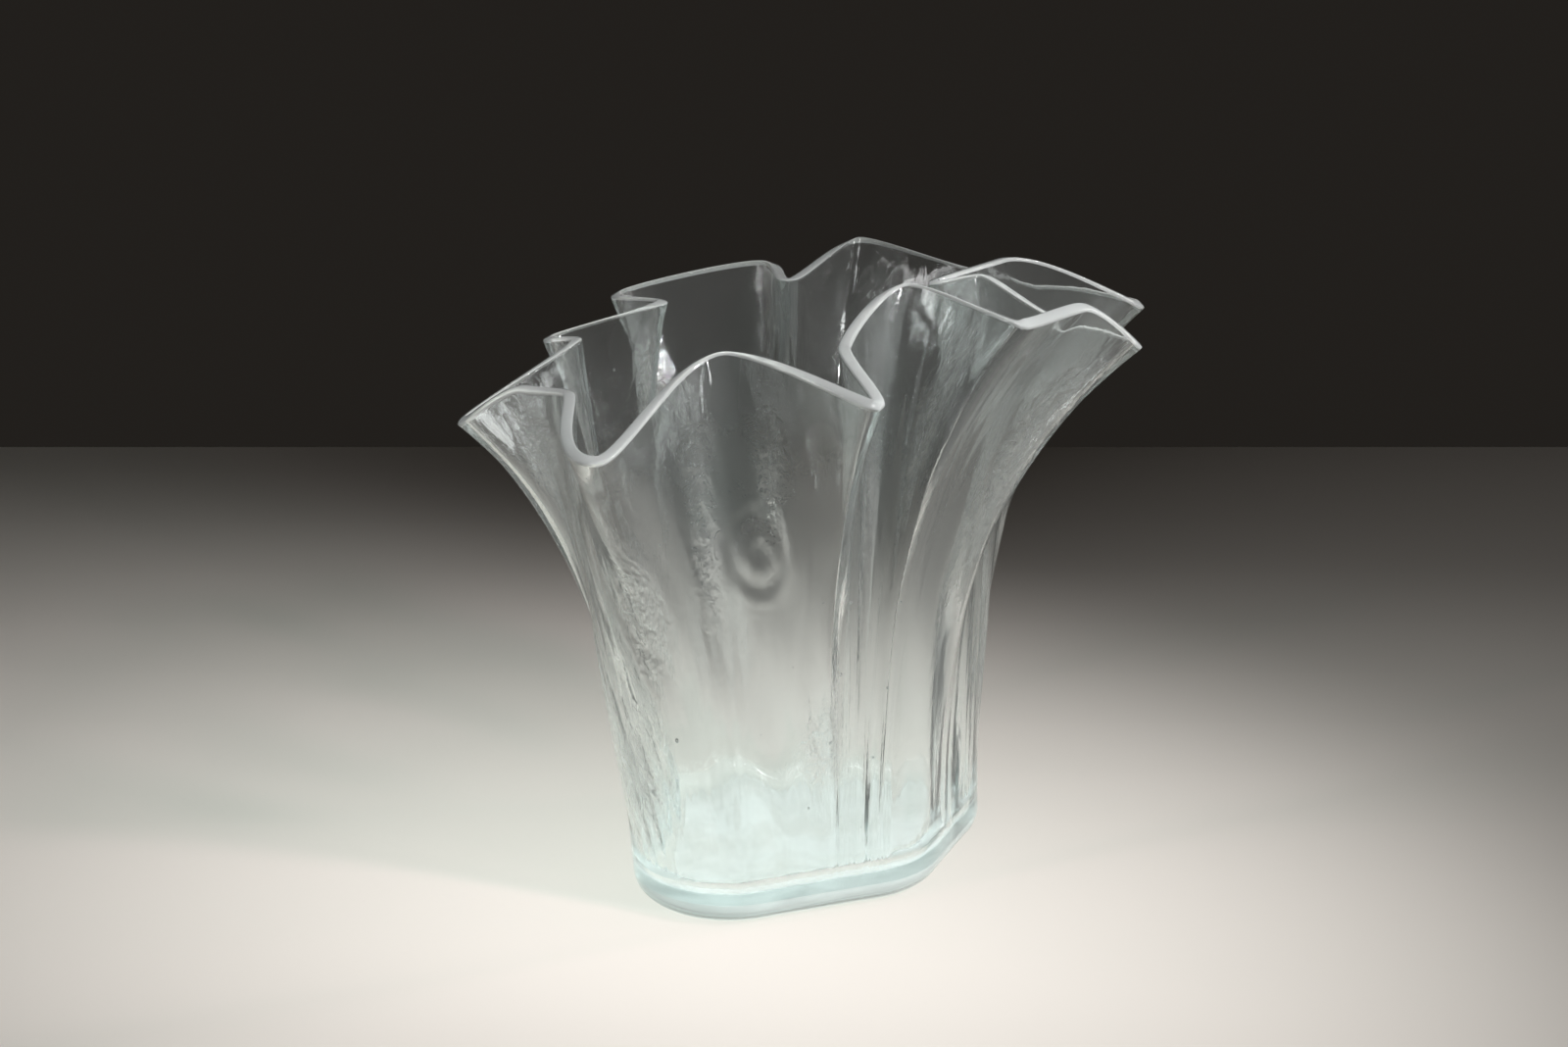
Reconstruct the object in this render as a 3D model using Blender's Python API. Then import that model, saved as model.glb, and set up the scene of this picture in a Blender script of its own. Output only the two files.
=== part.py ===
"""A blown glass vase with a ruffled rim.

One wall of clear glass rises from a thick, soft-cornered square foot, swells a little on its way up
and opens into nine lobes with deep folds between them. The underside of the foot lies on z = 0,
centred on the origin, and the front of the vase looks along -Y. Sizes are in metres and angles in
degrees.
"""

import math

import bmesh
import bpy
import numpy as np

# Glass thicknesses
RIM_WALL = 0.0041
FOOT_WALL = 0.0056
BOTTOM = 0.0080
# Power of the way down by which the wall thickens towards the foot
THICKENING_POWER = 2.0

# The rim's top: height of its rounding, and how square its section is (2 is an ellipse)
RIM_EDGE_HEIGHT = 0.0012
RIM_SQUARENESS = 4.0

# Roundings at the foot, outside and inside
FOOT_EDGE_RADIUS = 0.0085
INNER_CORNER_RADIUS = 0.0120

# The foot's plan seen from above: corner x, corner y, corner radius, counter-clockwise
FOOT_CORNERS = (
    (-0.0580, -0.0770, 0.032),
    (0.0410, -0.0400, 0.034),
    (0.0820, 0.0600, 0.036),
    (-0.0530, 0.0520, 0.038),
)

# How the body opens: the plan of the foot times this is the rim without its folds
RIM_SWELL = 1.48
# Powers of the height by which the swell comes in, on the side that leans out early and opposite it
EARLY_SWELL_POWER = 1.05
LATE_SWELL_POWER = 2.20
EARLY_SIDE = 195.0
# Power of the height by which the folds come in
FOLD_POWER = 3.8

# The rim's middle line, counter-clockwise: a row for each lobe tip and fold.
# x, y, height, direction of travel, handle before, handle after, azimuth of the body below
RIM = (
    (-0.1110, -0.0200, 0.1630, 282, 0.006, 0.006, 190),
    (-0.0890, -0.0315, 0.1770, 337, 0.008, 0.008, 200),
    (-0.0735, -0.0450, 0.1790, 280, 0.005, 0.012, 209),
    (-0.0620, -0.1015, 0.1750, 0, 0.014, 0.008, 236),
    (-0.0230, -0.0620, 0.1975, 355, 0.016, 0.014, 256),
    (0.0220, -0.1070, 0.1940, 28, 0.004, 0.004, 281),
    (0.0130, -0.0670, 0.2005, 88, 0.014, 0.012, 286),
    (0.0340, -0.0340, 0.2120, 0, 0.009, 0.008, 292),
    (0.0670, -0.0775, 0.2110, 2, 0.004, 0.004, 301),
    (0.0880, -0.0460, 0.2080, 35, 0.008, 0.008, 308),
    (0.1080, -0.0330, 0.1925, 92, 0.005, 0.005, 336),
    (0.0850, -0.0190, 0.1965, 157, 0.008, 0.008, 344),
    (0.0595, 0.0030, 0.2055, 150, 0.005, 0.004, 351),
    (0.0430, -0.0040, 0.2050, 115, 0.003, 0.003, 361),
    (0.0660, 0.0190, 0.2065, 52, 0.008, 0.024, 371),
    (0.1170, 0.0410, 0.1860, 78, 0.006, 0.006, 389),
    (0.0660, 0.0680, 0.1900, 150, 0.014, 0.014, 410),
    (0.0220, 0.1175, 0.1900, 185, 0.009, 0.008, 440),
    (-0.0040, 0.0690, 0.1870, 168, 0.005, 0.005, 452),
    (-0.0115, 0.0965, 0.1865, 145, 0.007, 0.010, 462),
    (-0.0650, 0.0820, 0.1790, 250, 0.011, 0.010, 487),
    (-0.0480, 0.0530, 0.1830, 243, 0.009, 0.009, 500),
    (-0.0860, 0.0420, 0.1740, 245, 0.010, 0.008, 516),
    (-0.0760, 0.0260, 0.1770, 262, 0.008, 0.010, 527),
)
# Length along the rim over which the azimuths of neighbouring rows blend
AZIMUTH_BLEND = 0.030

# Glass finish
GLASS_COLOUR = (0.93, 0.98, 0.965, 1.0)
GLASS_ROUGHNESS = 0.02
GLASS_IOR = 1.5

# Mesh fineness
AROUND = 176
WALL_ROWS = 11
FOOT_EDGE_ROWS = 3
INNER_CORNER_ROWS = 3
RIM_EDGE_ROWS = 3
CURVE_STEPS = 60
FOOT_STEPS = 720
NORMAL_STEPS = 4
ROW_CROWDING = 0.85
SLOPE_STEP = 0.002
SHARP_ANGLE = 60.0


def clear_scene():
    for item in list(bpy.data.objects):
        bpy.data.objects.remove(item)


def make_glass():
    material = bpy.data.materials.new("clear_glass")
    material.use_nodes = True
    shader = material.node_tree.nodes["Principled BSDF"]
    shader.inputs["Base Color"].default_value = GLASS_COLOUR
    shader.inputs["Roughness"].default_value = GLASS_ROUGHNESS
    shader.inputs["Metallic"].default_value = 0.0
    shader.inputs["IOR"].default_value = GLASS_IOR
    shader.inputs["Transmission Weight"].default_value = 1.0
    return material


def heading(degrees):
    angle = math.radians(degrees)
    return np.array((math.cos(angle), math.sin(angle)))


def unit(vectors):
    return vectors / np.linalg.norm(vectors, axis=-1, keepdims=True)


def soft_polygon(corners):
    """A closed polygon whose corners are arcs, as plan points."""
    points = []
    for i, (x, y, radius) in enumerate(corners):
        here = np.array((x, y))
        before = unit(np.array(corners[i - 1][:2]) - here)
        after = unit(np.array(corners[(i + 1) % len(corners)][:2]) - here)
        half_angle = math.acos(float(np.dot(before, after))) / 2
        centre = here + unit(before + after) * radius / math.sin(half_angle)
        start = here + before * radius / math.tan(half_angle) - centre
        turn = math.pi - 2 * half_angle
        for angle in np.linspace(0, turn, CURVE_STEPS):
            c = math.cos(angle)
            s = math.sin(angle)
            points.append(centre + (start[0] * c - start[1] * s, start[0] * s + start[1] * c))
    return np.array(points)


def length_along(points):
    """Length of a line from its start to each of its points."""
    return np.concatenate(([0], np.cumsum(np.linalg.norm(np.diff(points, axis=0), axis=1))))


def evenly_spaced(points, count):
    """The given number of points at even steps along a line, its start included and its end left out."""
    along = length_along(points)
    wanted = np.arange(count) * along[-1] / count
    return np.stack([np.interp(wanted, along, column) for column in points.T], axis=1)


def foot_plan(azimuths):
    """Points of the foot's middle line in the given directions from the origin."""
    corners = soft_polygon(FOOT_CORNERS)
    outline = evenly_spaced(np.vstack((corners, corners[:1])), FOOT_STEPS)
    angles = np.degrees(np.arctan2(outline[:, 1], outline[:, 0]))
    reach = np.interp(azimuths, angles, np.linalg.norm(outline, axis=1), period=360) - FOOT_WALL / 2
    directions = np.stack((np.cos(np.radians(azimuths)), np.sin(np.radians(azimuths))), axis=1)
    return directions * reach[:, None]


def rim_span(start, end):
    """One stretch of the rim between two rows, as a Bezier curve of x, y and height."""
    first = np.array(start[:3])
    last = np.array(end[:3])
    leave = first + (*heading(start[3]) * start[5], 0)
    arrive = last - (*heading(end[3]) * end[4], 0)
    s = np.linspace(0, 1, CURVE_STEPS)[:, None]
    return (1 - s) ** 3 * first + 3 * (1 - s) ** 2 * s * leave + 3 * (1 - s) * s**2 * arrive + s**3 * last


def blended(values, spacing):
    """A closed row of values, each averaged with its neighbours over AZIMUTH_BLEND."""
    half = max(1, round(AZIMUTH_BLEND / spacing / 2))
    return sum(np.roll(values, shift) for shift in range(-half, half + 1)) / (2 * half + 1)


def rim_line():
    """Points along the rim, one of them at each row of RIM, and the azimuth of the body below each."""
    spans = [rim_span(RIM[i], RIM[(i + 1) % len(RIM)]) for i in range(len(RIM))]
    lengths = [length_along(span)[-1] for span in spans]
    ends = [row[6] for row in RIM] + [RIM[0][6] + 360]
    places = []
    azimuths = []
    for i, span in enumerate(spans):
        count = NORMAL_STEPS * max(1, round(AROUND * lengths[i] / sum(lengths)))
        places.append(evenly_spaced(span, count))
        azimuths.append(np.linspace(ends[i], ends[i + 1], count, endpoint=False))
    places = np.concatenate(places)
    azimuths = np.concatenate(azimuths)
    even = RIM[0][6] + 360 * np.arange(len(places)) / len(places)
    return places, even + blended(azimuths - even, sum(lengths) / len(places))


def swell_at(azimuths, height):
    """How far the swell has come in at a share of the height, from 0 to 1."""
    middle = (EARLY_SWELL_POWER + LATE_SWELL_POWER) / 2
    swing = (LATE_SWELL_POWER - EARLY_SWELL_POWER) / 2
    power = middle - swing * np.cos(np.radians(azimuths - EARLY_SIDE))
    return height**power


def wall_middle(rim, azimuths, height):
    """One row of the wall's middle surface, at a share of the height for each of its points."""
    foot = foot_plan(azimuths)
    swell = swell_at(azimuths, height)[:, None]
    folds = (height**FOLD_POWER)[:, None]
    plan = foot + foot * (RIM_SWELL - 1) * swell + (rim[:, :2] - foot * RIM_SWELL) * folds
    level = FOOT_EDGE_RADIUS + (rim[:, 2] - FOOT_EDGE_RADIUS) * height
    return np.column_stack((plan, level))


def wall_frame(rim, azimuths, height):
    """A row of the wall's middle surface, with its outward normals and its upward directions."""
    lower = wall_middle(rim, azimuths, np.clip(height - SLOPE_STEP, 0, 1))
    upper = wall_middle(rim, azimuths, np.clip(height + SLOPE_STEP, 0, 1))
    row = wall_middle(rim, azimuths, height)
    along = unit(np.roll(row, -1, axis=0) - np.roll(row, 1, axis=0))
    out = unit(np.cross(along, upper - lower))
    return row, out, unit(np.cross(out, along))


def half_wall(height):
    """Half of the wall's thickness at a share of the height."""
    return (RIM_WALL + (FOOT_WALL - RIM_WALL) * (1 - height[:, None]) ** THICKENING_POWER) / 2


def rim_section(angle):
    """A point of the rim's rounded top: how far out and how high above the wall's end it lies."""
    power = 2 / RIM_SQUARENESS
    across = math.copysign(abs(math.cos(angle)) ** power, math.cos(angle)) * RIM_WALL / 2
    return across, math.sin(angle) ** power * RIM_EDGE_HEIGHT


def quarter(rows):
    """Angles from 90 degrees down to just above 0, for a rounded corner."""
    return [math.pi / 2 * (1 - i / rows) for i in range(rows)]


def vase_rows():
    """Rows of points from the underside, up the outer skin, over the rim and down to the inner floor."""
    rim, azimuths = rim_line()
    wall_height = rim[:, 2] - FOOT_EDGE_RADIUS
    top_share = 1 - RIM_EDGE_HEIGHT / wall_height
    inner_share = (BOTTOM + INNER_CORNER_RADIUS - FOOT_EDGE_RADIUS) / wall_height
    spread = [(k / WALL_ROWS) ** ROW_CROWDING for k in range(WALL_ROWS + 1)]

    rows = []
    base, out, _ = wall_frame(rim, azimuths, top_share * 0)
    level_out = unit(out * (1, 1, 0))
    skin = base + level_out * FOOT_WALL / 2
    for angle in quarter(FOOT_EDGE_ROWS):
        inset = FOOT_EDGE_RADIUS * (1 - math.cos(angle))
        drop = FOOT_EDGE_RADIUS * math.sin(angle)
        rows.append(skin - level_out * inset - (0, 0, drop))
    for share in spread:
        height = top_share * share
        row, out, up = wall_frame(rim, azimuths, height)
        rows.append(row + out * half_wall(height))

    for k in range(1, RIM_EDGE_ROWS + 1):
        across, rise = rim_section(math.pi * k / (RIM_EDGE_ROWS + 1))
        rows.append(row + out * across + up * rise)

    for share in reversed(spread):
        height = inner_share + (top_share - inner_share) * share
        row, out, _ = wall_frame(rim, azimuths, height)
        rows.append(row - out * half_wall(height))
    level_out = unit(out * (1, 1, 0))
    for angle in reversed(quarter(INNER_CORNER_ROWS)):
        inset = INNER_CORNER_RADIUS * (1 - math.cos(angle))
        drop = INNER_CORNER_RADIUS * math.sin(angle)
        rows.append(row - out * half_wall(height) - level_out * inset - (0, 0, drop))
    return [row[::NORMAL_STEPS] for row in rows]


def make_vase(material, collection):
    """Lofts faces through the rows and closes the underside and the inner floor."""
    mesh = bpy.data.meshes.new("vase")
    shape = bmesh.new()
    rings = [[shape.verts.new(point) for point in row] for row in vase_rows()]
    for lower, upper in zip(rings, rings[1:]):
        for i in range(len(lower)):
            j = (i + 1) % len(lower)
            shape.faces.new((lower[i], lower[j], upper[j], upper[i]))
    shape.faces.new(reversed(rings[0]))
    shape.faces.new(rings[-1])
    for face in shape.faces:
        face.smooth = True
    shape.to_mesh(mesh)
    shape.free()
    mesh.set_sharp_from_angle(angle=math.radians(SHARP_ANGLE))
    mesh.materials.append(material)
    vase = bpy.data.objects.new("vase", mesh)
    collection.objects.link(vase)
    return vase


def main():
    clear_scene()
    collection = bpy.data.collections.new("ruffled_glass_vase")
    bpy.context.scene.collection.children.link(collection)
    make_vase(make_glass(), collection)


main()
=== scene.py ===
"""Looks for the ruffled glass vase: fine rippled glass, soft studio light and the camera.

Sizes are in metres and angles in degrees.
"""

import math

import bmesh
import bpy
import numpy as np
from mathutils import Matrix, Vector

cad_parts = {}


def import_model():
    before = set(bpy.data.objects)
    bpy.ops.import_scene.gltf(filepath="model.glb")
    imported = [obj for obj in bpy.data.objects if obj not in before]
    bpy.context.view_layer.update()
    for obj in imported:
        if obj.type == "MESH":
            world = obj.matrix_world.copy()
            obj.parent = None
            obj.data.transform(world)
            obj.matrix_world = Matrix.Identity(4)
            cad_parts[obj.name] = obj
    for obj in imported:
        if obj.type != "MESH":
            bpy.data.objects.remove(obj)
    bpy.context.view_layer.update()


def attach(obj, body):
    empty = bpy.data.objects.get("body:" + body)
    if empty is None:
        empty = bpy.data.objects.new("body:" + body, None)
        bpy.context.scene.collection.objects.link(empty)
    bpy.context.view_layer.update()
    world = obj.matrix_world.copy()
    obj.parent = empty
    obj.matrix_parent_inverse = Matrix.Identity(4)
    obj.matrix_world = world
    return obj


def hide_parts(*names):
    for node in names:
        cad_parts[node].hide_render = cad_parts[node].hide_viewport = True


# The vase's sizes, the same values as in the solid
RIM_WALL = 0.0041
FOOT_WALL = 0.0056
THICKENING_POWER = 2.0
RIM_EDGE_HEIGHT = 0.0012
RIM_SQUARENESS = 4.0
BOTTOM = 0.0080
FOOT_EDGE_RADIUS = 0.0085
INNER_CORNER_RADIUS = 0.0120
FOOT_CORNERS = (
    (-0.0580, -0.0770, 0.032),
    (0.0410, -0.0400, 0.034),
    (0.0820, 0.0600, 0.036),
    (-0.0530, 0.0520, 0.038),
)
RIM_SWELL = 1.48
EARLY_SWELL_POWER = 1.05
LATE_SWELL_POWER = 2.20
EARLY_SIDE = 195.0
FOLD_POWER = 3.8
# x, y, height, direction of travel, handle before, handle after, azimuth of the body below
RIM = (
    (-0.1110, -0.0200, 0.1630, 282, 0.006, 0.006, 190),
    (-0.0890, -0.0315, 0.1770, 337, 0.008, 0.008, 200),
    (-0.0735, -0.0450, 0.1790, 280, 0.005, 0.012, 209),
    (-0.0620, -0.1015, 0.1750, 0, 0.014, 0.008, 236),
    (-0.0230, -0.0620, 0.1975, 355, 0.016, 0.014, 256),
    (0.0220, -0.1070, 0.1940, 28, 0.004, 0.004, 281),
    (0.0130, -0.0670, 0.2005, 88, 0.014, 0.012, 286),
    (0.0340, -0.0340, 0.2120, 0, 0.009, 0.008, 292),
    (0.0670, -0.0775, 0.2110, 2, 0.004, 0.004, 301),
    (0.0880, -0.0460, 0.2080, 35, 0.008, 0.008, 308),
    (0.1080, -0.0330, 0.1925, 92, 0.005, 0.005, 336),
    (0.0850, -0.0190, 0.1965, 157, 0.008, 0.008, 344),
    (0.0595, 0.0030, 0.2055, 150, 0.005, 0.004, 351),
    (0.0430, -0.0040, 0.2050, 115, 0.003, 0.003, 361),
    (0.0660, 0.0190, 0.2065, 52, 0.008, 0.024, 371),
    (0.1170, 0.0410, 0.1860, 78, 0.006, 0.006, 389),
    (0.0660, 0.0680, 0.1900, 150, 0.014, 0.014, 410),
    (0.0220, 0.1175, 0.1900, 185, 0.009, 0.008, 440),
    (-0.0040, 0.0690, 0.1870, 168, 0.005, 0.005, 452),
    (-0.0115, 0.0965, 0.1865, 145, 0.007, 0.010, 462),
    (-0.0650, 0.0820, 0.1790, 250, 0.011, 0.010, 487),
    (-0.0480, 0.0530, 0.1830, 243, 0.009, 0.009, 500),
    (-0.0860, 0.0420, 0.1740, 245, 0.010, 0.008, 516),
    (-0.0760, 0.0260, 0.1770, 262, 0.008, 0.010, 527),
)
AZIMUTH_BLEND = 0.030

# Mesh fineness
AROUND = 720
WALL_ROWS = 44
FOOT_EDGE_ROWS = 6
INNER_CORNER_ROWS = 6
RIM_EDGE_ROWS = 7
CURVE_STEPS = 120
FOOT_STEPS = 1440
ROW_CROWDING = 0.85
SLOPE_STEP = 0.002
SHARP_EDGE = 60

# Steps that spread a series evenly from 0 to 1 without repeating it
FIRST_STEP = 0.618034
SECOND_STEP = 0.754878
THIRD_STEP = 0.569840

# Hand-worked waviness of each skin: deepest slow wave, deepest fine ripple
SLOW_WAVE = 0.00110
FINE_RIPPLE = 0.00012
# Fewest and most waves round the wall, and how many are summed
SLOW_COUNTS = (9, 34, 9)
FINE_COUNTS = (60, 150, 16)
# What sets the two skins' waves apart, and the fine ripples from the slow waves
SKIN_SHIFTS = (0.37, 0.53, 0.29)
FINE_SHIFT = 4
# Least slant of a wave and how much more it may have, in turns over the height
WAVE_SLANT = (0.4, 3.1)
FINE_SLANT_SHARE = 0.6
# Shares of the height over which the waves fade out at the foot and at the rim
WAVE_FADE = (0.12, 0.10)

# The tool mark on the front: share along the rim, share of the height, half width, half height, depth
TOOL_MARK = (0.1714, 0.675, 0.0088, 0.0144, 0.0010)
MARK_STEEPNESS = 1.6
# The ring pressed round it: share of the depth, reach and width in half widths of the mark
MARK_EDGE = (0.35, 1.25, 0.22)

# Patches of crinkled skin: share along the rim, share of the height, half width, half height
CHILL_PATCHES = (
    (0.183, 0.84, 0.009, 0.20),
    (0.150, 0.74, 0.007, 0.22),
    (0.108, 0.62, 0.012, 0.16),
    (0.060, 0.78, 0.014, 0.20),
    (0.345, 0.82, 0.012, 0.22),
    (0.300, 0.70, 0.010, 0.26),
    (0.420, 0.80, 0.012, 0.18),
    (0.520, 0.86, 0.016, 0.14),
    (0.610, 0.78, 0.014, 0.22),
    (0.700, 0.88, 0.012, 0.16),
    (0.790, 0.90, 0.012, 0.14),
    (0.850, 0.86, 0.010, 0.18),
    (0.880, 0.80, 0.012, 0.20),
    (0.930, 0.90, 0.012, 0.14),
    (0.980, 0.86, 0.012, 0.16),
    (0.230, 0.30, 0.030, 0.12),
    (0.080, 0.25, 0.020, 0.14),
    (0.560, 0.30, 0.030, 0.12),
    (0.830, 0.28, 0.030, 0.14),
)
CHILL_STEEPNESS = 2
CHILL_GAIN = 1.4
# Raggedness of a patch's edge: its share, and its turns round the wall, up it and from patch to patch
CHILL_RAGGED = (0.35, 90, 7, 5)
# How far round the wall the inner skin's patches lie from the outer skin's
INNER_CHILL_SHIFT = 0.004

# Seeds in the glass
SEED_COUNT = 110
SEED_RADII = (0.00018, 0.00055)
SEED_SIZE_POWER = 3
SEED_STRETCH = 0.6
# Lowest seed and how much higher the highest is, as shares of the height
SEED_LOWEST = 0.10
SEED_SPAN = 0.84
# Where the series of the seeds' heights and of their sizes start
SEED_SHIFTS = (0.2, 0.4)
# How far a seed may lie from the middle of the wall, and the angle from one seed to the next
SEED_WANDER = 0.0007
SEED_WANDER_ANGLE = 2.4

# Glass
GLASS_TINT = (0.975, 0.997, 0.990, 1.0)
THICK_GLASS_COLOUR = (0.38, 0.91, 0.86, 1.0)
THICK_GLASS_DENSITY = 4.0
# What a skin lets straight through of the lamps' light and of the light that bounces off the table
CLEAR_TO_LAMPS = (0.94, 0.955, 0.95, 1.0)
GLASS_IOR = 1.5
# Share of the light that goes clear through a skin, from the smoothest to the most crinkled places
CLEAR_SHARES = (0.972, 0.930)
# Share that the polished rim scatters instead
RIM_SCATTER = 0.38
# Least and most that the ground underside scatters, and its level in the pattern
UNDERSIDE_SCATTER = (0.20, 0.60)
UNDERSIDE_LEVEL = -1.0
# Share that the softly ground edge round the foot scatters
FOOT_EDGE_SCATTER = 0.22
# Levels of the rim in the pattern: middle and half width, and rows of the rim to one of the wall
RIM_LEVELS = (1.03, 0.03)
RIM_LEVEL_STEPS = 4

# Fine relief of the skin
RELIEF_STRENGTH = 0.9
RELIEF_DEPTH = 0.0010
# Noises: scale on each axis, detail, distortion
DRAW_LINES = ((95.0, 3.0, 1.0), 2.0, 0.6)
CRINKLES = ((170.0, 20.0, 1.0), 4.0, 1.6)
POLISH_PATCHES = ((38.0, 38.0, 26.0), 4.0, 0.0)
# Height of the long draw lines beside the crinkles, and of the crinkles outside their patches
DRAW_LINE_SHARE = 0.14
LEAST_CRINKLED = 0.04
# Fine rings in the tool mark: place, level, half width and half height in the pattern
MARK_IN_PATTERN = (0.1742, 0.671, 0.0165, 0.082)
# Angle of the rings' wave for each half width, their height, and where they fade out
MARK_RING_ANGLE = 7.5
MARK_RELIEF = 0.30
MARK_FADE = (0.8, 1.3)
# Spans of the patch noise that give the least and most roughness, and the least and most cloudiness
POLISH_SPAN = (0.40, 0.75)
POLISH_ROUGHNESS = (0.015, 0.12)
CLOUD_SPAN = (0.36, 0.64)

# Surroundings
TABLE_COLOUR = (0.79, 0.745, 0.69, 1.0)
TABLE_ROUGHNESS = 0.75
TABLE_GLOSS = 0.2
TABLE_BACK_EDGE = 0.468
TABLE_GAP = 0.0004
TABLE_REACH = 3.0
ROOM_COLOUR = (0.016, 0.014, 0.012, 1.0)
# Lamps: name, place, aim, width, height, power, spread
LAMPS = (
    ("key", (1.03, -0.67, 1.03), (-0.04, -0.06, 0.03), 0.12, 0.12, 0.46, 23),
    ("top", (-0.05, -0.30, 1.55), (-0.05, -0.11, 0.0), 0.50, 0.50, 0.12, 20),
    ("left_strip", (-0.85, -0.55, 0.95), (0.0, 0.0, 0.14), 0.03, 0.55, 0.12, 26),
    ("right_strip", (0.95, 0.25, 0.85), (0.0, 0.0, 0.14), 0.03, 0.55, 0.12, 26),
    ("front_strip", (1.00, -0.92, 0.60), (-0.02, 0.0, 0.16), 0.05, 0.70, 0.13, 24),
    ("left_window", (-1.50, 0.20, 0.80), (0.0, -0.08, 0.12), 0.30, 0.90, 0.15, 22),
    ("right_window", (1.55, -0.10, 0.80), (0.0, -0.08, 0.12), 0.30, 0.90, 0.15, 22),
)

# Camera that matches the photograph
CAMERA_PLACE = (-0.00547, -0.96974, 0.45220)
CAMERA_TILT = 71.0912
CAMERA_LENS = 70.0
CAMERA_SENSOR = 36.0


def heading(degrees):
    angle = math.radians(degrees)
    return np.array((math.cos(angle), math.sin(angle)))


def unit(vectors):
    return vectors / np.linalg.norm(vectors, axis=-1, keepdims=True)


def soft_polygon(corners):
    """A closed polygon whose corners are arcs, as plan points."""
    points = []
    for i, (x, y, radius) in enumerate(corners):
        here = np.array((x, y))
        before = unit(np.array(corners[i - 1][:2]) - here)
        after = unit(np.array(corners[(i + 1) % len(corners)][:2]) - here)
        half_angle = math.acos(float(np.dot(before, after))) / 2
        centre = here + unit(before + after) * radius / math.sin(half_angle)
        start = here + before * radius / math.tan(half_angle) - centre
        turn = math.pi - 2 * half_angle
        for angle in np.linspace(0, turn, CURVE_STEPS):
            c = math.cos(angle)
            s = math.sin(angle)
            points.append(centre + (start[0] * c - start[1] * s, start[0] * s + start[1] * c))
    return np.array(points)


def length_along(points):
    """Length of a line from its start to each of its points."""
    return np.concatenate(([0], np.cumsum(np.linalg.norm(np.diff(points, axis=0), axis=1))))


def evenly_spaced(points, count):
    """The given number of points at even steps along a line, its start included and its end left out."""
    along = length_along(points)
    wanted = np.arange(count) * along[-1] / count
    return np.stack([np.interp(wanted, along, column) for column in points.T], axis=1)


def foot_plan(azimuths):
    """Points of the foot's middle line in the given directions from the origin."""
    corners = soft_polygon(FOOT_CORNERS)
    outline = evenly_spaced(np.vstack((corners, corners[:1])), FOOT_STEPS)
    angles = np.degrees(np.arctan2(outline[:, 1], outline[:, 0]))
    reach = np.interp(azimuths, angles, np.linalg.norm(outline, axis=1), period=360) - FOOT_WALL / 2
    directions = np.stack((np.cos(np.radians(azimuths)), np.sin(np.radians(azimuths))), axis=1)
    return directions * reach[:, None]


def rim_span(start, end):
    """One stretch of the rim between two rows, as a Bezier curve of x, y and height."""
    first = np.array(start[:3])
    last = np.array(end[:3])
    leave = first + (*heading(start[3]) * start[5], 0)
    arrive = last - (*heading(end[3]) * end[4], 0)
    s = np.linspace(0, 1, CURVE_STEPS)[:, None]
    near_start = (1 - s) ** 3 * first + 3 * (1 - s) ** 2 * s * leave
    return near_start + 3 * (1 - s) * s**2 * arrive + s**3 * last


def blended(values, spacing):
    """A closed row of values, each averaged with its neighbours over AZIMUTH_BLEND."""
    half = max(1, round(AZIMUTH_BLEND / spacing / 2))
    return sum(np.roll(values, shift) for shift in range(-half, half + 1)) / (2 * half + 1)


def rim_line():
    """Points along the rim, one of them at each row of RIM, and the azimuth of the body below each."""
    spans = [rim_span(RIM[i], RIM[(i + 1) % len(RIM)]) for i in range(len(RIM))]
    lengths = [length_along(span)[-1] for span in spans]
    ends = [row[6] for row in RIM] + [RIM[0][6] + 360]
    places = []
    azimuths = []
    for i, span in enumerate(spans):
        count = max(1, round(AROUND * lengths[i] / sum(lengths)))
        places.append(evenly_spaced(span, count))
        azimuths.append(np.linspace(ends[i], ends[i + 1], count, endpoint=False))
    places = np.concatenate(places)
    azimuths = np.concatenate(azimuths)
    even = RIM[0][6] + 360 * np.arange(len(places)) / len(places)
    return places, even + blended(azimuths - even, sum(lengths) / len(places))


def swell_at(azimuths, height):
    """How far the swell has come in at a share of the height, from 0 to 1."""
    middle = (EARLY_SWELL_POWER + LATE_SWELL_POWER) / 2
    swing = (LATE_SWELL_POWER - EARLY_SWELL_POWER) / 2
    power = middle - swing * np.cos(np.radians(azimuths - EARLY_SIDE))
    return height**power


def wall_middle(rim, azimuths, height):
    """One row of the wall's middle surface, at a share of the height for each of its points."""
    foot = foot_plan(azimuths)
    swell = swell_at(azimuths, height)[:, None]
    folds = (height**FOLD_POWER)[:, None]
    plan = foot + foot * (RIM_SWELL - 1) * swell + (rim[:, :2] - foot * RIM_SWELL) * folds
    level = FOOT_EDGE_RADIUS + (rim[:, 2] - FOOT_EDGE_RADIUS) * height
    return np.column_stack((plan, level))


def wall_frame(rim, azimuths, height):
    """A row of the wall's middle surface, with its outward normals and its upward directions."""
    lower = wall_middle(rim, azimuths, np.clip(height - SLOPE_STEP, 0, 1))
    upper = wall_middle(rim, azimuths, np.clip(height + SLOPE_STEP, 0, 1))
    row = wall_middle(rim, azimuths, height)
    along = unit(np.roll(row, -1, axis=0) - np.roll(row, 1, axis=0))
    out = unit(np.cross(along, upper - lower))
    return row, out, unit(np.cross(out, along))


def half_wall(height):
    """Half of the wall's thickness at a share of the height."""
    return (RIM_WALL + (FOOT_WALL - RIM_WALL) * (1 - height[:, None]) ** THICKENING_POWER) / 2


def rim_section(angle):
    """A point of the rim's rounded top: how far out and how high above the wall's end it lies."""
    power = 2 / RIM_SQUARENESS
    across = math.copysign(abs(math.cos(angle)) ** power, math.cos(angle)) * RIM_WALL / 2
    return across, math.sin(angle) ** power * RIM_EDGE_HEIGHT


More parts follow.
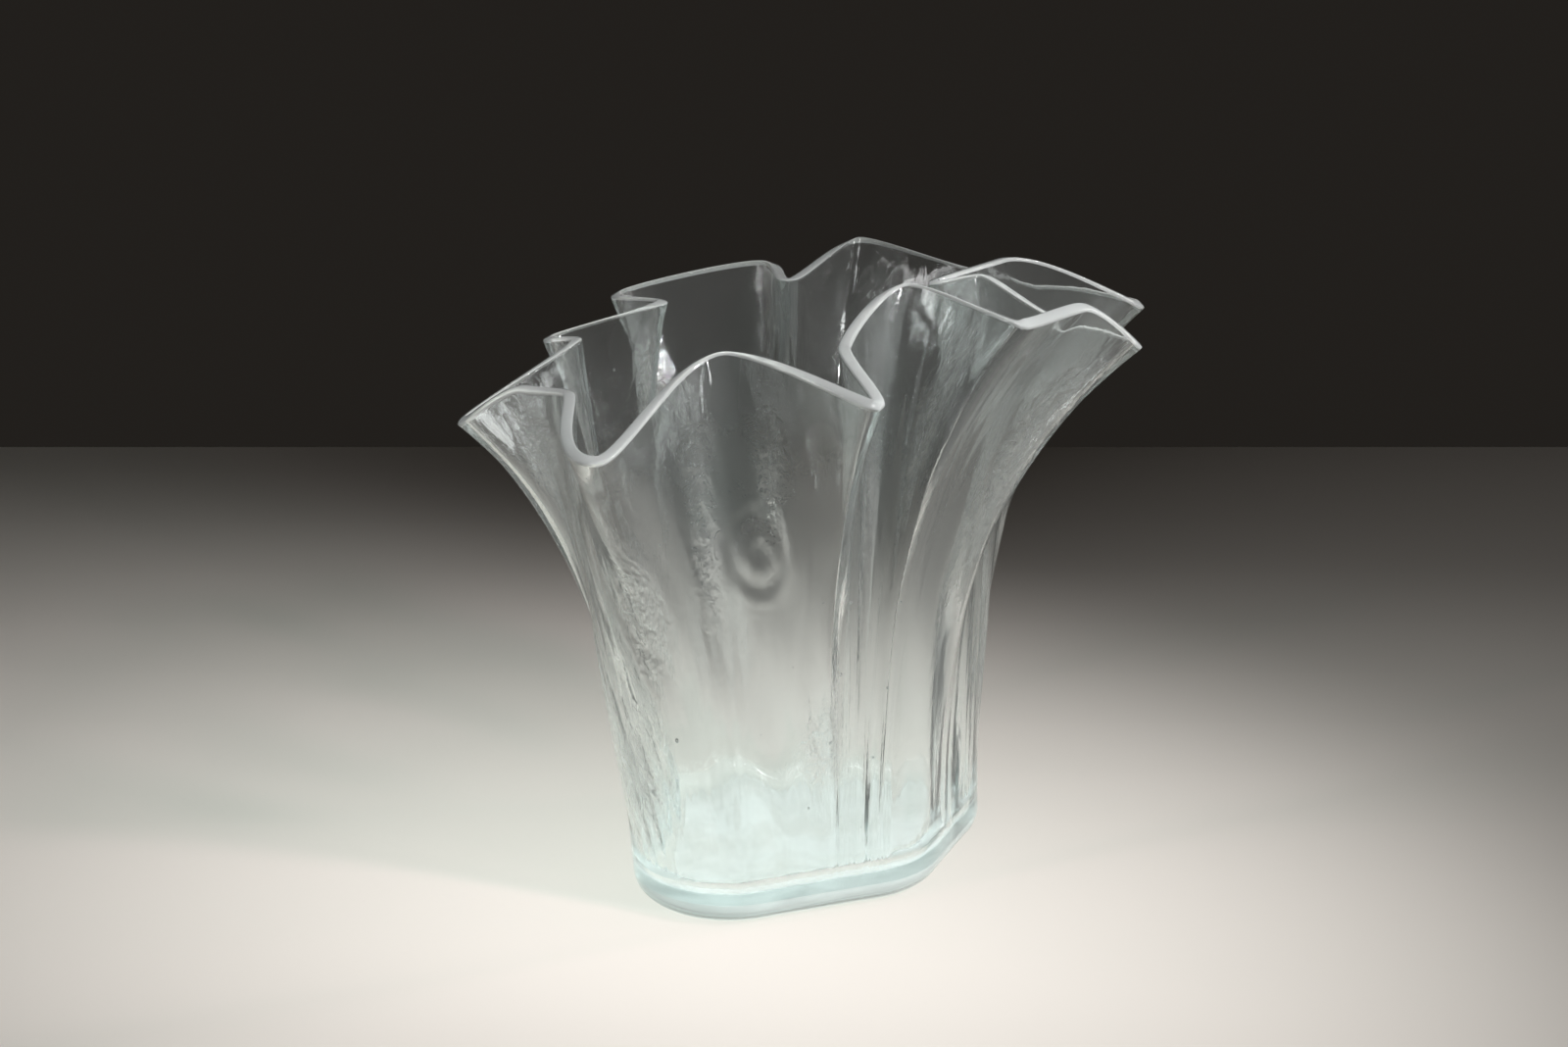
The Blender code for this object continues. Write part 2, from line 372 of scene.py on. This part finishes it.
def quarter(rows):
    """Angles from 90 degrees down to just above 0, for a rounded corner."""
    return [math.pi / 2 * (1 - i / rows) for i in range(rows)]


def waves(share, height, side, slowest, fastest, terms):
    """A sum of slanted waves round the wall and up it, from 0 to 1, different on each skin."""
    least, more = WAVE_SLANT
    shifts = [side * shift for shift in SKIN_SHIFTS]
    span = fastest - slowest
    total = np.zeros(len(share))
    for k in range(terms):
        count = slowest + round(span * (k * FIRST_STEP + shifts[0]) % span)
        climb = least + more * ((k * SECOND_STEP + shifts[1]) % 1)
        phase = 2 * math.pi * ((k * THIRD_STEP + shifts[2]) % 1)
        total += np.sin(2 * math.pi * (count * share + climb * height) + phase)
    return 0.5 + 0.5 * np.clip(total / math.sqrt(terms * 2), -1, 1)


def tool_mark(share, height, perimeter, tall):
    """Depth of the oval mark pressed into the outer skin, with a ring round it."""
    place, level, half_width, half_height, depth = TOOL_MARK
    across = (share - place) * perimeter / half_width
    up = (height - level) * tall / half_height
    reach = np.sqrt(across**2 + up**2)
    ring_share, ring_reach, ring_width = MARK_EDGE
    pit = np.exp(-(reach**2) * MARK_STEEPNESS)
    return depth * (pit + ring_share * np.exp(-(((reach - ring_reach) / ring_width) ** 2)))


def chill(share, height):
    """How crinkled the skin is, from 0 to 1."""
    ragged, round_turns, up_turns, patch_turns = CHILL_RAGGED
    total = np.zeros(len(share))
    for place, level, half_width, half_height in CHILL_PATCHES:
        across = (share - place + 0.5) % 1 - 0.5
        turns = round_turns * share + up_turns * height + patch_turns * place
        edge = 1 + ragged * np.sin(2 * math.pi * turns)
        reach = (across / half_width) ** 2 + ((height - level) / half_height) ** 2
        total += np.exp(-reach * CHILL_STEEPNESS * edge)
    return np.clip(total * CHILL_GAIN, 0, 1)


def waviness(share, height, side):
    """How far each point of a skin lies inside the smooth wall."""
    fade = np.clip(height / WAVE_FADE[0], 0, 1) * np.clip((1 - height) / WAVE_FADE[1], 0, 1)
    slow = SLOW_WAVE * waves(share, height, side, *SLOW_COUNTS)
    fine = FINE_RIPPLE * waves(share, height * FINE_SLANT_SHARE, side + FINE_SHIFT, *FINE_COUNTS)
    return (fade * (slow + fine))[:, None]


def vase_rows():
    """Rows of points from the underside, up the outer skin, over the rim and down to the inner floor,
    with each row's level in the glass pattern and how crinkled its points are.

    The levels run from just under 0 to 0 round the foot's edge, from 0 to 1 up the outer skin, a
    little past 1 over the rim, from 2 to 3 down the inner skin and just past 3 at the floor's corner.
    """
    rim, azimuths = rim_line()
    wall_height = rim[:, 2] - FOOT_EDGE_RADIUS
    top_share = 1 - RIM_EDGE_HEIGHT / wall_height
    inner_share = (BOTTOM + INNER_CORNER_RADIUS - FOOT_EDGE_RADIUS) / wall_height
    spread = [(k / WALL_ROWS) ** ROW_CROWDING for k in range(WALL_ROWS + 1)]
    share = np.arange(len(rim)) / len(rim)

    rows = []
    levels = []
    crinkles = []
    base, out, _ = wall_frame(rim, azimuths, top_share * 0)
    level_out = unit(out * (1, 1, 0))
    skin = base + level_out * FOOT_WALL / 2
    for angle in quarter(FOOT_EDGE_ROWS):
        inset = FOOT_EDGE_RADIUS * (1 - math.cos(angle))
        drop = FOOT_EDGE_RADIUS * math.sin(angle)
        rows.append(skin - level_out * inset - (0, 0, drop))
        levels.append(-math.sin(angle) / WALL_ROWS)
        crinkles.append(share * 0)
    for step in spread:
        height = top_share * step
        row, out, up = wall_frame(rim, azimuths, height)
        perimeter = np.sum(np.linalg.norm(row - np.roll(row, 1, axis=0), axis=1))
        dent = waviness(share, height, 0) + tool_mark(share, height, perimeter, wall_height)[:, None]
        rows.append(row + out * (half_wall(height) - dent))
        levels.append(step)
        crinkles.append(chill(share, height))

    for k in range(1, RIM_EDGE_ROWS + 1):
        across, rise = rim_section(math.pi * k / (RIM_EDGE_ROWS + 1))
        rows.append(row + out * across + up * rise)
        levels.append(1 + k / WALL_ROWS / RIM_LEVEL_STEPS)
        crinkles.append(share * 0)

    for step in reversed(spread):
        height = inner_share + (top_share - inner_share) * step
        row, out, _ = wall_frame(rim, azimuths, height)
        rows.append(row - out * (half_wall(height) - waviness(share, height, 1)))
        levels.append(2 + (1 - step))
        crinkles.append(chill(share + INNER_CHILL_SHIFT, height))
    level_out = unit(out * (1, 1, 0))
    corner = rows[-1]
    for angle in reversed(quarter(INNER_CORNER_ROWS)):
        inset = INNER_CORNER_RADIUS * (1 - math.cos(angle))
        drop = INNER_CORNER_RADIUS * math.sin(angle)
        rows.append(corner - level_out * inset - (0, 0, drop))
        levels.append(3 + math.sin(angle) / WALL_ROWS)
        crinkles.append(share * 0)
    return rows, levels, crinkles


def seed_form():
    """Points and faces of a ball of radius 1 whose skin faces its own inside."""
    shape = bmesh.new()
    bmesh.ops.create_icosphere(shape, subdivisions=2, radius=1.0)
    points = np.array([vertex.co for vertex in shape.verts])
    faces = np.array([[vertex.index for vertex in reversed(face.verts)] for face in shape.faces])
    shape.free()
    return points, faces


def seed_skins(first):
    """Points and faces of the small bubbles in the middle of the wall, numbered from the given point."""
    rim, azimuths = rim_line()
    form, form_faces = seed_form()
    points = []
    faces = []
    for k in range(SEED_COUNT):
        share = (k * FIRST_STEP) % 1
        level = SEED_LOWEST + SEED_SPAN * ((k * SECOND_STEP + SEED_SHIFTS[0]) % 1)
        size = ((k * THIRD_STEP + SEED_SHIFTS[1]) % 1) ** SEED_SIZE_POWER
        row, out, _ = wall_frame(rim, azimuths, np.full(len(rim), level))
        i = int(share * len(rim))
        place = row[i] + out[i] * SEED_WANDER * math.sin(k * SEED_WANDER_ANGLE)
        radius = SEED_RADII[0] + (SEED_RADII[1] - SEED_RADII[0]) * size
        points.append(place + form * radius * (1, 1, 1 + SEED_STRETCH * size))
        faces.append(form_faces + first + k * len(form))
    return np.concatenate(points), np.concatenate(faces)


def add_pattern(mesh, levels, around):
    """A map of the wall for the glass pattern: share round it, and level."""
    here = np.arange(around)
    bands = len(levels) - 1
    low = np.array(levels[:-1])[:, None] * np.ones((1, around))
    high = np.array(levels[1:])[:, None] * np.ones((1, around))
    up = np.stack((low, low, high, high), axis=-1)
    sides = np.stack((here, here + 1, here + 1, here), axis=-1)[None] / around
    across = sides * np.ones((bands, 1, 1))
    marks = np.full((len(mesh.loops), 2), 0.5)
    marks[: up.size, 0] = across.ravel()
    marks[: up.size, 1] = up.ravel()
    marks[up.size : up.size + around, 1] = UNDERSIDE_LEVEL
    mesh.uv_layers.new(name="pattern").data.foreach_set("uv", marks.ravel())


def make_vase():
    """Lofts faces through the rows, closes the underside and the inner floor, and adds the seeds."""
    rows, levels, crinkles = vase_rows()
    around = len(rows[0])
    here = np.arange(around)
    after = (here + 1) % around
    ring = around * np.arange(len(rows) - 1)[:, None]
    quads = np.stack((ring + here, ring + after, ring + around + after, ring + around + here), axis=-1)
    seeds, seed_faces = seed_skins(around * len(rows))
    last_ring = around * (len(rows) - 1)
    faces = quads.reshape(-1, 4).tolist()
    faces += [list(reversed(range(around))), list(range(last_ring, last_ring + around))]
    faces += seed_faces.tolist()
    mesh = bpy.data.meshes.new("vase_glass")
    mesh.from_pydata(np.concatenate((*rows, seeds)), [], faces)
    mesh.shade_smooth()
    mesh.set_sharp_from_angle(angle=math.radians(SHARP_EDGE))
    add_pattern(mesh, levels, around)
    crinkled = np.concatenate((*crinkles, np.zeros(len(seeds))))
    mesh.attributes.new("crinkled", "FLOAT", "POINT").data.foreach_set("value", crinkled)

    vase = bpy.data.objects.new("vase_glass", mesh)
    bpy.context.scene.collection.objects.link(vase)
    return vase


def add_noise(material, vector, form):
    """A noise with a scale for each axis, a detail and a distortion."""
    scale, detail, distortion = form
    nodes = material.node_tree.nodes
    link = material.node_tree.links.new
    stretch = nodes.new("ShaderNodeMapping")
    stretch.inputs["Scale"].default_value = scale
    link(vector, stretch.inputs["Vector"])
    noise = nodes.new("ShaderNodeTexNoise")
    noise.inputs["Scale"].default_value = 1.0
    noise.inputs["Detail"].default_value = detail
    noise.inputs["Distortion"].default_value = distortion
    link(stretch.outputs["Vector"], noise.inputs["Vector"])
    return noise.outputs["Fac"]


def add_range(material, value, span, result):
    """Maps a value's span to the given pair of results."""
    ramp = material.node_tree.nodes.new("ShaderNodeMapRange")
    ramp.inputs["From Min"].default_value, ramp.inputs["From Max"].default_value = span
    ramp.inputs["To Min"].default_value, ramp.inputs["To Max"].default_value = result
    material.node_tree.links.new(value, ramp.inputs["Value"])
    return ramp.outputs["Result"]


def add_math(material, operation, *values):
    """One step of arithmetic on values, each of them a node's output or a number."""
    node = material.node_tree.nodes.new("ShaderNodeMath")
    node.operation = operation
    for socket, value in zip(node.inputs, values):
        if isinstance(value, float):
            socket.default_value = value
        else:
            material.node_tree.links.new(value, socket)
    return node.outputs["Value"]


def add_mark(material, pattern):
    """Relief of the rings in the tool mark, which fade out past its edge."""
    place, level, half_width, half_height = MARK_IN_PATTERN
    nodes = material.node_tree.nodes
    link = material.node_tree.links.new
    centred = nodes.new("ShaderNodeMapping")
    centred.inputs["Location"].default_value = (-place / half_width, -level / half_height, 0.0)
    centred.inputs["Scale"].default_value = (1 / half_width, 1 / half_height, 1.0)
    link(pattern, centred.inputs["Vector"])
    reach = nodes.new("ShaderNodeVectorMath")
    reach.operation = "LENGTH"
    link(centred.outputs["Vector"], reach.inputs[0])
    angle = add_math(material, "MULTIPLY", reach.outputs["Value"], MARK_RING_ANGLE)
    rings = add_math(material, "COSINE", angle)
    fade = add_range(material, reach.outputs["Value"], MARK_FADE, (MARK_RELIEF, 0.0))
    return add_math(material, "MULTIPLY", rings, fade)


def add_relief(material, pattern, crinkled):
    """The skin's normals, from crinkles in their patches, long draw lines and the tool mark."""
    nodes = material.node_tree.nodes
    link = material.node_tree.links.new
    share = add_range(material, crinkled, (0.0, 1.0), (LEAST_CRINKLED, 1.0))
    crinkles = add_math(material, "MULTIPLY", add_noise(material, pattern, CRINKLES), share)
    lines = add_math(material, "MULTIPLY", add_noise(material, pattern, DRAW_LINES), DRAW_LINE_SHARE)
    drawn = add_math(material, "ADD", crinkles, lines)
    relief = add_math(material, "ADD", drawn, add_mark(material, pattern))
    bump = nodes.new("ShaderNodeBump")
    bump.inputs["Strength"].default_value = RELIEF_STRENGTH
    bump.inputs["Distance"].default_value = RELIEF_DEPTH
    link(relief, bump.inputs["Height"])
    return bump.outputs["Normal"]


def add_clear_share(material, level, crinkled, patches):
    """Share of the light that goes clear through: less in crinkles, on the rim and on the foot."""
    wall = add_range(material, crinkled, (0.0, 1.0), CLEAR_SHARES)
    on_rim = add_math(material, "COMPARE", level, *RIM_LEVELS)
    rim_loss = add_math(material, "MULTIPLY", on_rim, RIM_SCATTER)
    above_foot = add_math(material, "SUBTRACT", wall, rim_loss)
    on_underside = add_math(material, "LESS_THAN", level, UNDERSIDE_LEVEL / 2)
    cloudy = add_range(material, patches, CLOUD_SPAN, UNDERSIDE_SCATTER)
    ground = add_math(material, "MULTIPLY", on_underside, cloudy)
    below_wall = add_math(material, "LESS_THAN", level, 0.0)
    edge_loss = add_math(material, "MULTIPLY", below_wall, FOOT_EDGE_SCATTER)
    foot_loss = add_math(material, "ADD", ground, edge_loss)
    return add_math(material, "SUBTRACT", above_foot, foot_loss)


def make_glass():
    """Clear glass with crinkles, draw lines, a soft polish and a faint aqua body colour."""
    material = bpy.data.materials.new("clear_glass")
    material.use_nodes = True
    nodes = material.node_tree.nodes
    link = material.node_tree.links.new
    shader = nodes["Principled BSDF"]
    shader.inputs["Metallic"].default_value = 0.0
    shader.inputs["IOR"].default_value = GLASS_IOR
    shader.inputs["Base Color"].default_value = GLASS_TINT

    pattern = nodes.new("ShaderNodeUVMap")
    pattern.uv_map = "pattern"
    split = nodes.new("ShaderNodeSeparateXYZ")
    link(pattern.outputs["UV"], split.inputs["Vector"])
    crinkled = nodes.new("ShaderNodeAttribute")
    crinkled.attribute_name = "crinkled"
    where = nodes.new("ShaderNodeTexCoord")
    patches = add_noise(material, where.outputs["Object"], POLISH_PATCHES)

    relief = add_relief(material, pattern.outputs["UV"], crinkled.outputs["Fac"])
    link(relief, shader.inputs["Normal"])
    polish = add_range(material, patches, POLISH_SPAN, POLISH_ROUGHNESS)
    link(polish, shader.inputs["Roughness"])
    clear = add_clear_share(material, split.outputs["Y"], crinkled.outputs["Fac"], patches)
    link(clear, shader.inputs["Transmission Weight"])

    rays = nodes.new("ShaderNodeLightPath")
    soft = add_math(material, "MAXIMUM", rays.outputs["Is Shadow Ray"], rays.outputs["Is Diffuse Ray"])
    passed = nodes.new("ShaderNodeBsdfTransparent")
    passed.inputs["Color"].default_value = CLEAR_TO_LAMPS
    surface = nodes.new("ShaderNodeMixShader")
    link(soft, surface.inputs["Fac"])
    link(shader.outputs["BSDF"], surface.inputs[1])
    link(passed.outputs["BSDF"], surface.inputs[2])
    link(surface.outputs["Shader"], nodes["Material Output"].inputs["Surface"])

    depth = nodes.new("ShaderNodeVolumeAbsorption")
    depth.inputs["Color"].default_value = THICK_GLASS_COLOUR
    depth.inputs["Density"].default_value = THICK_GLASS_DENSITY
    link(depth.outputs["Volume"], nodes["Material Output"].inputs["Volume"])
    return material


def make_table():
    """A plain pale top whose back edge lies where the photograph's does."""
    mesh = bpy.data.meshes.new("table")
    corners = (
        (-TABLE_REACH, -TABLE_REACH, -TABLE_GAP),
        (TABLE_REACH, -TABLE_REACH, -TABLE_GAP),
        (TABLE_REACH, TABLE_BACK_EDGE, -TABLE_GAP),
        (-TABLE_REACH, TABLE_BACK_EDGE, -TABLE_GAP),
    )
    mesh.from_pydata(corners, [], [(0, 1, 2, 3)])
    table = bpy.data.objects.new("table", mesh)
    bpy.context.scene.collection.objects.link(table)
    material = bpy.data.materials.new("pale_table")
    material.use_nodes = True
    shader = material.node_tree.nodes["Principled BSDF"]
    shader.inputs["Base Color"].default_value = TABLE_COLOUR
    shader.inputs["Roughness"].default_value = TABLE_ROUGHNESS
    shader.inputs["Specular IOR Level"].default_value = TABLE_GLOSS
    mesh.materials.append(material)


def make_room():
    """Plain dark surroundings."""
    world = bpy.data.worlds.new("room")
    world.use_nodes = True
    sky = world.node_tree.nodes["Background"]
    sky.inputs["Color"].default_value = ROOM_COLOUR
    sky.inputs["Strength"].default_value = 1.0
    bpy.context.scene.world = world


def add_softbox(name, place, aim, width, height, power, spread):
    """A soft lamp aimed at a point."""
    lamp = bpy.data.lights.new(name, "AREA")
    lamp.shape = "RECTANGLE"
    lamp.size = width
    lamp.size_y = height
    lamp.energy = power
    lamp.spread = math.radians(spread)
    holder = bpy.data.objects.new(name, lamp)
    bpy.context.scene.collection.objects.link(holder)
    holder.location = place
    holder.rotation_euler = (Vector(aim) - Vector(place)).to_track_quat("-Z", "Y").to_euler()
    holder.visible_camera = False


def make_camera():
    data = bpy.data.cameras.new("view")
    data.lens = CAMERA_LENS
    data.sensor_width = CAMERA_SENSOR
    camera = bpy.data.objects.new("view", data)
    bpy.context.scene.collection.objects.link(camera)
    camera.location = CAMERA_PLACE
    camera.rotation_euler = (math.radians(CAMERA_TILT), 0.0, 0.0)
    bpy.context.scene.camera = camera


def main():
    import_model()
    vase = make_vase()
    vase.data.materials.append(make_glass())
    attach(vase, "root")
    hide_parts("vase")
    make_table()
    make_room()
    for lamp in LAMPS:
        add_softbox(*lamp)
    make_camera()
    bpy.context.scene.view_settings.view_transform = "Standard"


main()
